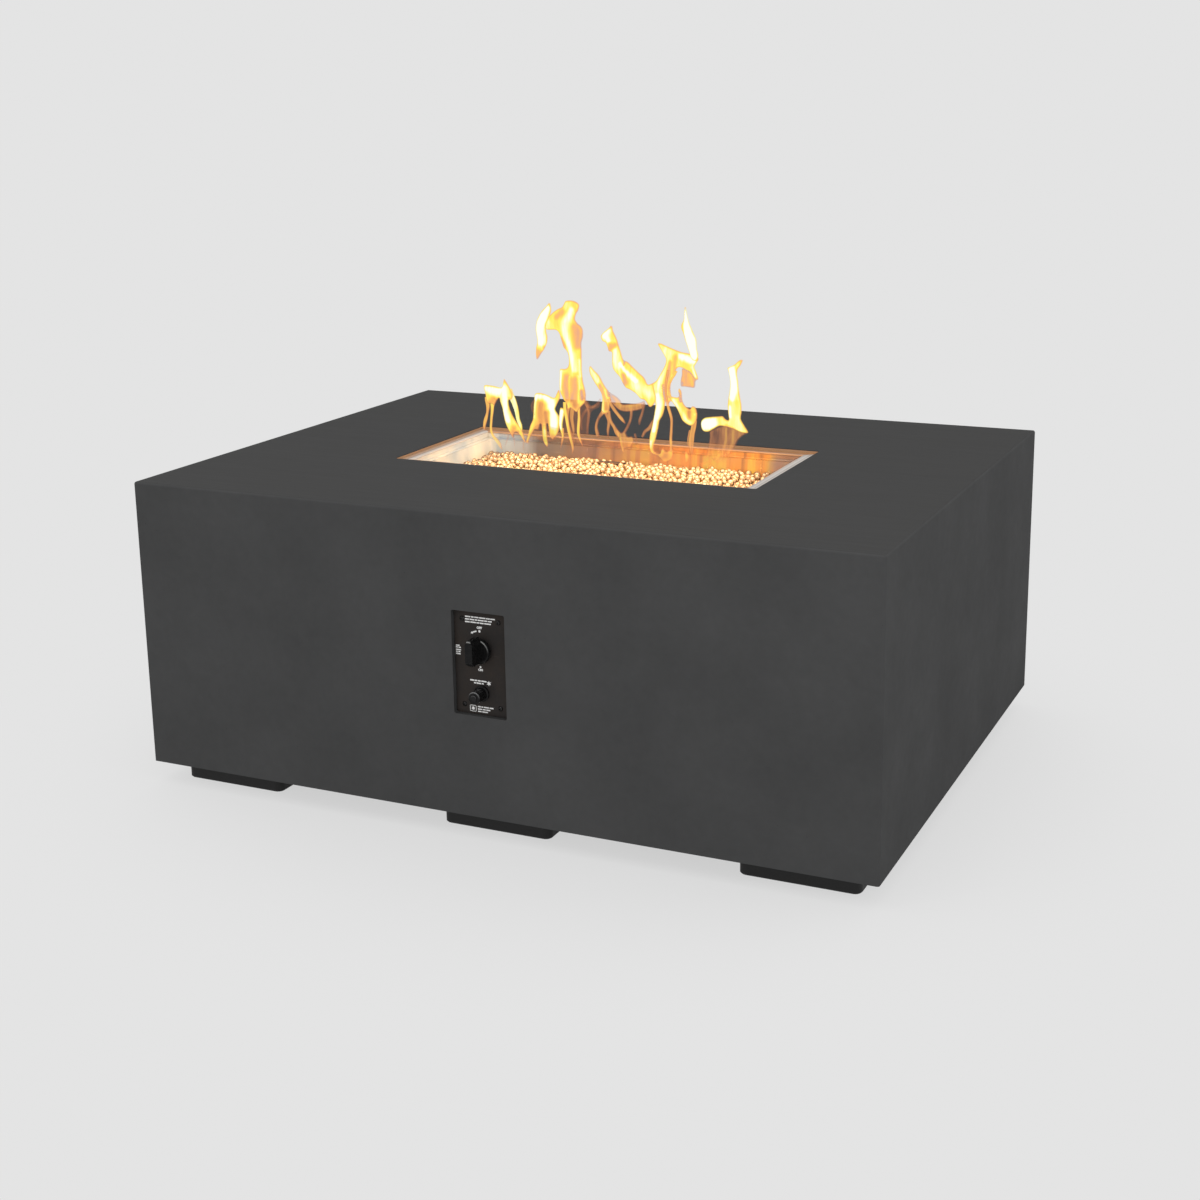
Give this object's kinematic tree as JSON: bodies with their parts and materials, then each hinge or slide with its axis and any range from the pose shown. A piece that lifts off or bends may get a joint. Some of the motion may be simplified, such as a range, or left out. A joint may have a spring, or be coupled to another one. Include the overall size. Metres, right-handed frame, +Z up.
{
  "type": "gas fire pit table",
  "caption": "Low rectangular cast-concrete gas fire table on block feet, with a drop-in burner pan of fire glass and a recessed front panel with a gas knob and push-button igniter.",
  "frame": {"origin": "on the floor under the centre of the overall footprint, knob included; the cast shell is centred 15 mm behind it", "axes": "+Z up, -Y to the front with the control panel, +X to the right seen from the front"},
  "size_m": [1.22, 0.944, 0.502],
  "materials": {
    "concrete": "fine cast concrete, sealed dark charcoal",
    "frame_steel": "black primer on welded steel angle",
    "foot_rubber": "dense black rubber",
    "zinc_steel": "zinc plated",
    "pan_stainless": "stainless sheet, heat-tinted",
    "burner_stainless": "stainless tube",
    "scorched_steel": "heat-browned steel strip",
    "brass": "machined brass",
    "feed_aluminium": "drawn tube",
    "ceramic": "white insulator",
    "fire_glass": "clear tumbled glass lit amber",
    "panel_paint": "dark brown-black powder coat",
    "screw_black": "blackened",
    "knob_black": "moulded phenolic",
    "igniter_black": "moulded nylon",
    "button_black": "smooth moulded button",
    "cell_jacket": "plain sleeved cell"
  },
  "bodies": {
    "table": {"concrete_shell": "concrete", "frame_rail_front": "frame_steel", "frame_rail_rear": "frame_steel", "frame_rail_left": "frame_steel", "frame_rail_right": "frame_steel", "frame_cross_left": "frame_steel", "frame_cross_right": "frame_steel", "foot_plates": "frame_steel", "foot_front_left": "foot_rubber", "foot_front_centre": "foot_rubber", "foot_front_right": "foot_rubber", "foot_rear_left": "foot_rubber", "foot_rear_centre": "foot_rubber", "foot_rear_right": "foot_rubber", "frame_bolts": "zinc_steel", "foot_bolts": "zinc_steel", "foot_nuts": "zinc_steel", "bonnet_screws": "zinc_steel", "valve_locknut": "zinc_steel", "cell_spring": "zinc_steel", "igniter_terminals": "zinc_steel", "burner_pan": "pan_stainless", "burner_manifold": "burner_stainless", "burner_saddles": "burner_stainless", "burner_nipple": "burner_stainless", "burner_locknut": "burner_stainless", "burner_elbow": "burner_stainless", "electrode_rod": "burner_stainless", "thermocouple": "burner_stainless", "ignition_hood": "scorched_steel", "air_mixer": "brass", "feed_nuts": "brass", "panel_inserts": "brass", "gas_valve_body": "brass", "valve_bonnet": "brass", "outlet_fitting": "brass", "inlet_elbow": "brass", "safety_magnet": "brass", "gas_feed_tube": "feed_aluminium", "electrode_ceramic": "ceramic", "fire_glass": "fire_glass", "control_panel": "panel_paint", "panel_screws": "screw_black", "igniter_body": "igniter_black", "igniter_locknut": "igniter_black"},
    "valve_plug": {"valve_plug": "brass", "stem_spring": "zinc_steel"},
    "knob": {"valve_stem": "brass", "control_knob": "knob_black"},
    "igniter_cell": {"igniter_cell": "cell_jacket"},
    "igniter_cap": {"igniter_cap": "igniter_black", "button_spring": "zinc_steel"},
    "igniter_button": {"igniter_button": "button_black"}
  },
  "joints": [
    {"name": "knob_turn", "type": "hinge", "parent": "table", "child": "valve_plug", "pos_m": [0, -0.434, 0.297], "axis": [0, -1, 0], "range_deg": [0, 180]},
    {"name": "knob_push", "type": "slide", "parent": "valve_plug", "child": "knob", "axis": [0, 1, 0], "range_m": [0, 0.004], "stiffness_N_per_m": 1500, "springref_m": -0.003, "deforming": ["stem_spring"]},
    {"name": "cell_slide", "type": "slide", "parent": "table", "child": "igniter_cell", "axis": [0, -1, 0], "range_m": [0, 0.006], "deforming": ["cell_spring"]},
    {"name": "cap_unscrew", "type": "hinge", "parent": "igniter_cell", "child": "igniter_cap", "pos_m": [0, -0.434, 0.23], "axis": [0, -1, 0], "range_deg": [0, 1080]},
    {"name": "button_push", "type": "slide", "parent": "igniter_cap", "child": "igniter_button", "axis": [0, 1, 0], "range_m": [0, 0.003], "stiffness_N_per_m": 800, "springref_m": -0.003, "deforming": ["button_spring"]}
  ],
  "couplings": [
    {"joint": "cap_unscrew", "follows": "cell_slide", "rad_per_m": 3141.6}
  ]
}
